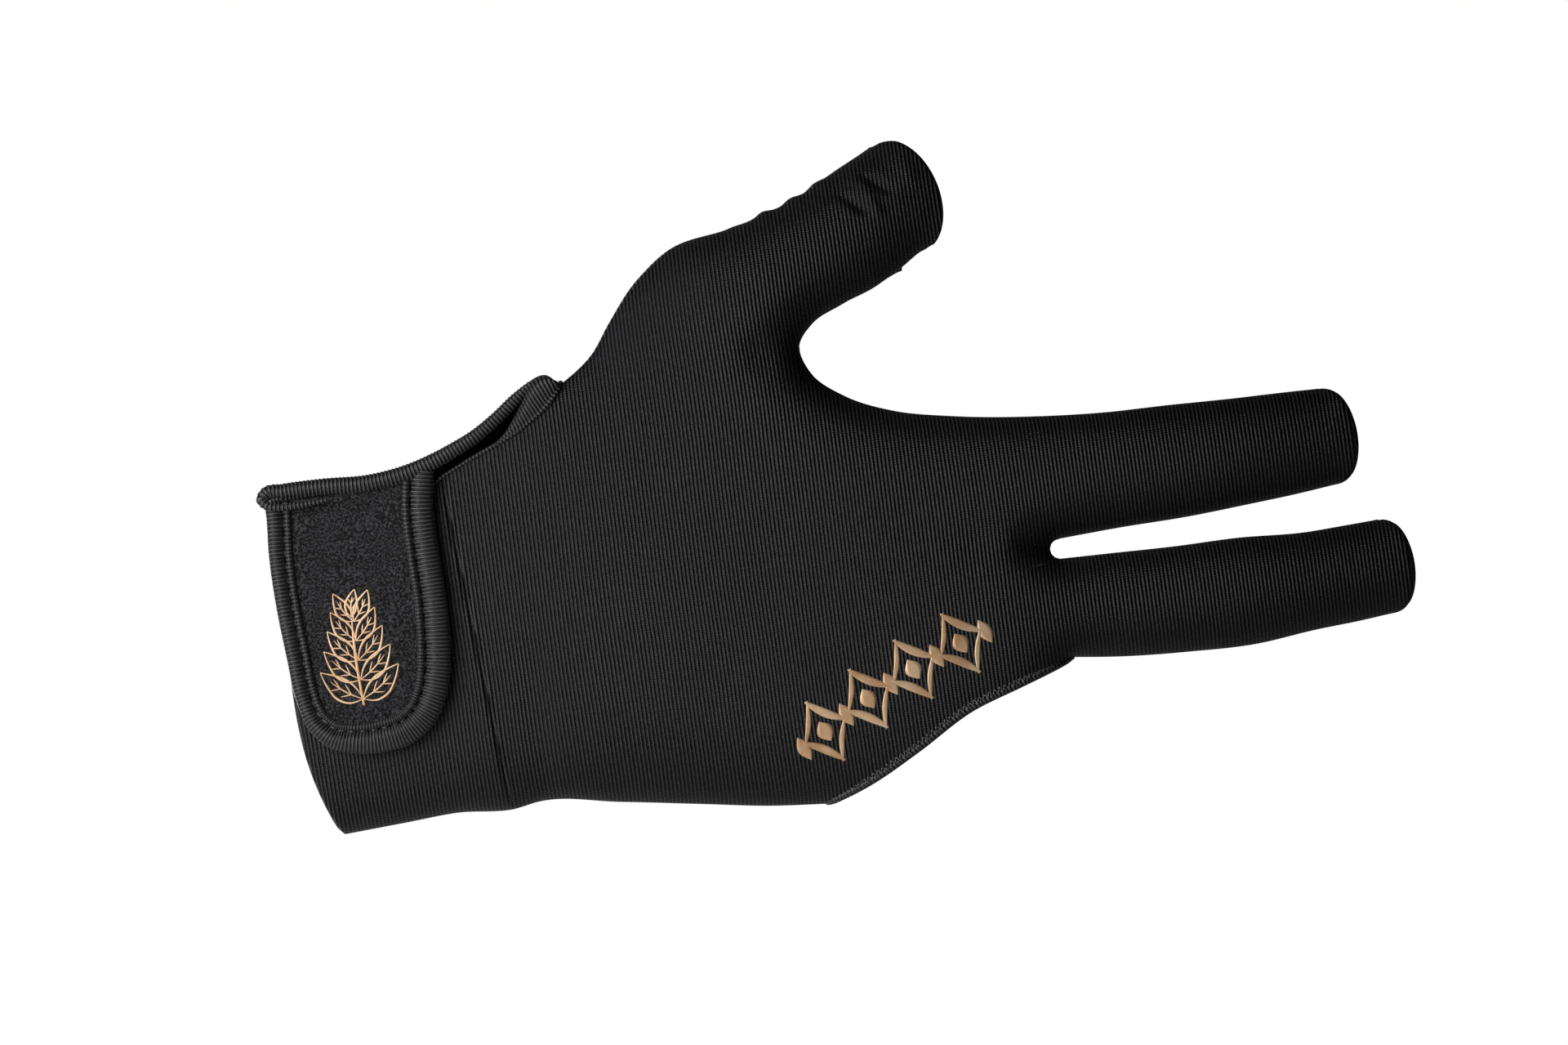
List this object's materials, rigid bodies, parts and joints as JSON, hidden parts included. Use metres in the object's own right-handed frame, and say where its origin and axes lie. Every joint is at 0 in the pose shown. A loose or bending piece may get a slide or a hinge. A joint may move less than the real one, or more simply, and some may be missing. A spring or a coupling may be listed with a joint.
{
  "type": "billiard glove",
  "caption": "Stretch-knit cue glove covering thumb, index and middle finger, with open fingertips, a wrist slit and a hook-and-loop closing tab.",
  "frame": {"origin": "centre of the wrist mouth, where the hand goes in", "axes": "+X from the wrist to the fingertips, +Z towards the thumb, -Y out of the back of the hand"},
  "size_m": [0.2359, 0.0379, 0.1425],
  "materials": {
    "hand_knit": "satin stretch knit with fine ribs",
    "cuff_knit": "satin stretch knit, firm",
    "tab_suede": "matt napped suede cloth",
    "ribbed_tape": "folded elastic tape, ribbed across its length"
  },
  "bodies": {
    "root": {"back_panel": "hand_knit", "palm_panel": "hand_knit", "wrist_band": "cuff_knit", "closure_tab": "tab_suede", "tab_binding": "ribbed_tape", "slit_binding": "ribbed_tape", "finger_opening_hem": "ribbed_tape"}
  },
  "joints": []
}
